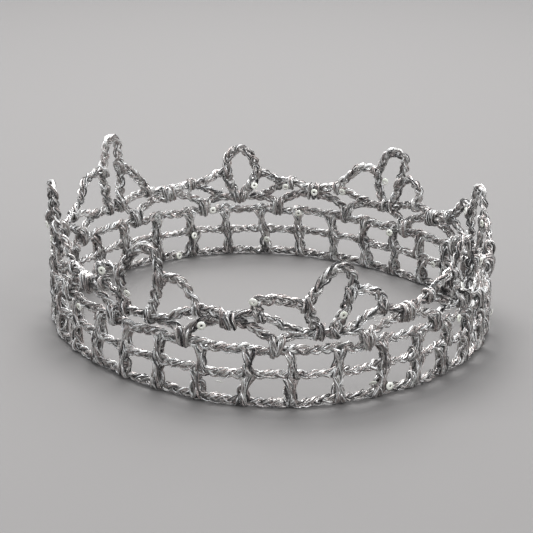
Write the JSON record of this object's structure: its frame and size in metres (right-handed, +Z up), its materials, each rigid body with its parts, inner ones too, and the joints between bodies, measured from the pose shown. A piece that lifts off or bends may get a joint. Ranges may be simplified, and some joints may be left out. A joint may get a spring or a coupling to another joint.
{
  "type": "crocheted crown",
  "caption": "Openwork crocheted crown: a netted band with scalloped valleys and leaf-shaped points in stiffened silver yarn, dotted with small sequins.",
  "frame": {"origin": "bottom centre of the bounding box, on the surface the crown stands on", "axes": "+Z up, out of the open top; the band lies in the XY plane; -Y is the side that the picture looks at"},
  "size_m": [0.171, 0.1718, 0.0609],
  "materials": {
    "yarn": "metallic",
    "sequin": "polished"
  },
  "bodies": {
    "band": {"foundation_chain": "yarn", "round_1": "yarn", "round_2": "yarn", "point_base_1": "yarn", "valley_arch_1": "yarn", "point_base_2": "yarn", "valley_arch_2": "yarn", "point_base_3": "yarn", "valley_arch_3": "yarn", "point_base_4": "yarn", "valley_arch_4": "yarn", "point_base_5": "yarn", "valley_arch_5": "yarn", "point_base_6": "yarn", "valley_arch_6": "yarn", "point_base_7": "yarn", "valley_arch_7": "yarn", "point_base_8": "yarn", "valley_arch_8": "yarn", "sequin_01": "sequin", "sequin_02": "sequin", "sequin_03": "sequin", "sequin_04": "sequin", "sequin_05": "sequin", "sequin_06": "sequin", "sequin_07": "sequin", "sequin_08": "sequin", "sequin_09": "sequin", "sequin_10": "sequin", "sequin_11": "sequin", "sequin_12": "sequin", "sequin_13": "sequin", "sequin_14": "sequin", "sequin_15": "sequin", "sequin_16": "sequin"},
    "point_1": {"point_1": "yarn"},
    "point_2": {"point_2": "yarn"},
    "point_3": {"point_3": "yarn"},
    "point_4": {"point_4": "yarn"},
    "point_5": {"point_5": "yarn"},
    "point_6": {"point_6": "yarn"},
    "point_7": {"point_7": "yarn"},
    "point_8": {"point_8": "yarn"}
  },
  "joints": [
    {"name": "point_1_flex", "type": "hinge", "parent": "band", "child": "point_1", "pos_m": [0.07856, 0.01453, 0.0332], "axis": [-0.2625, 0.9649, 0], "range_deg": [-15, 15], "stiffness_Nm_per_rad": 0.005},
    {"name": "point_2_flex", "type": "hinge", "parent": "band", "child": "point_2", "pos_m": [0.04461, 0.06294, 0.0332], "axis": [-0.7923, 0.6102, 0], "range_deg": [-15, 15], "stiffness_Nm_per_rad": 0.005},
    {"name": "point_3_flex", "type": "hinge", "parent": "band", "child": "point_3", "pos_m": [-0.01305, 0.07979, 0.0332], "axis": [-0.9927, -0.1206, 0], "range_deg": [-15, 15], "stiffness_Nm_per_rad": 0.005},
    {"name": "point_4_flex", "type": "hinge", "parent": "band", "child": "point_4", "pos_m": [-0.06664, 0.04688, 0.0332], "axis": [-0.583, -0.8125, 0], "range_deg": [-15, 15], "stiffness_Nm_per_rad": 0.005},
    {"name": "point_5_flex", "type": "hinge", "parent": "band", "child": "point_5", "pos_m": [-0.07764, -0.01481, 0.0332], "axis": [0.2861, -0.9582, 0], "range_deg": [-15, 15], "stiffness_Nm_per_rad": 0.005},
    {"name": "point_6_flex", "type": "hinge", "parent": "band", "child": "point_6", "pos_m": [-0.04139, -0.06581, 0.0332], "axis": [0.7975, -0.6033, 0], "range_deg": [-15, 15], "stiffness_Nm_per_rad": 0.005},
    {"name": "point_7_flex", "type": "hinge", "parent": "band", "child": "point_7", "pos_m": [0.01785, -0.0787, 0.0332], "axis": [0.9687, 0.2484, 0], "range_deg": [-15, 15], "stiffness_Nm_per_rad": 0.005},
    {"name": "point_8_flex", "type": "hinge", "parent": "band", "child": "point_8", "pos_m": [0.06753, -0.04332, 0.0332], "axis": [0.572, 0.8203, 0], "range_deg": [-15, 15], "stiffness_Nm_per_rad": 0.005}
  ]
}
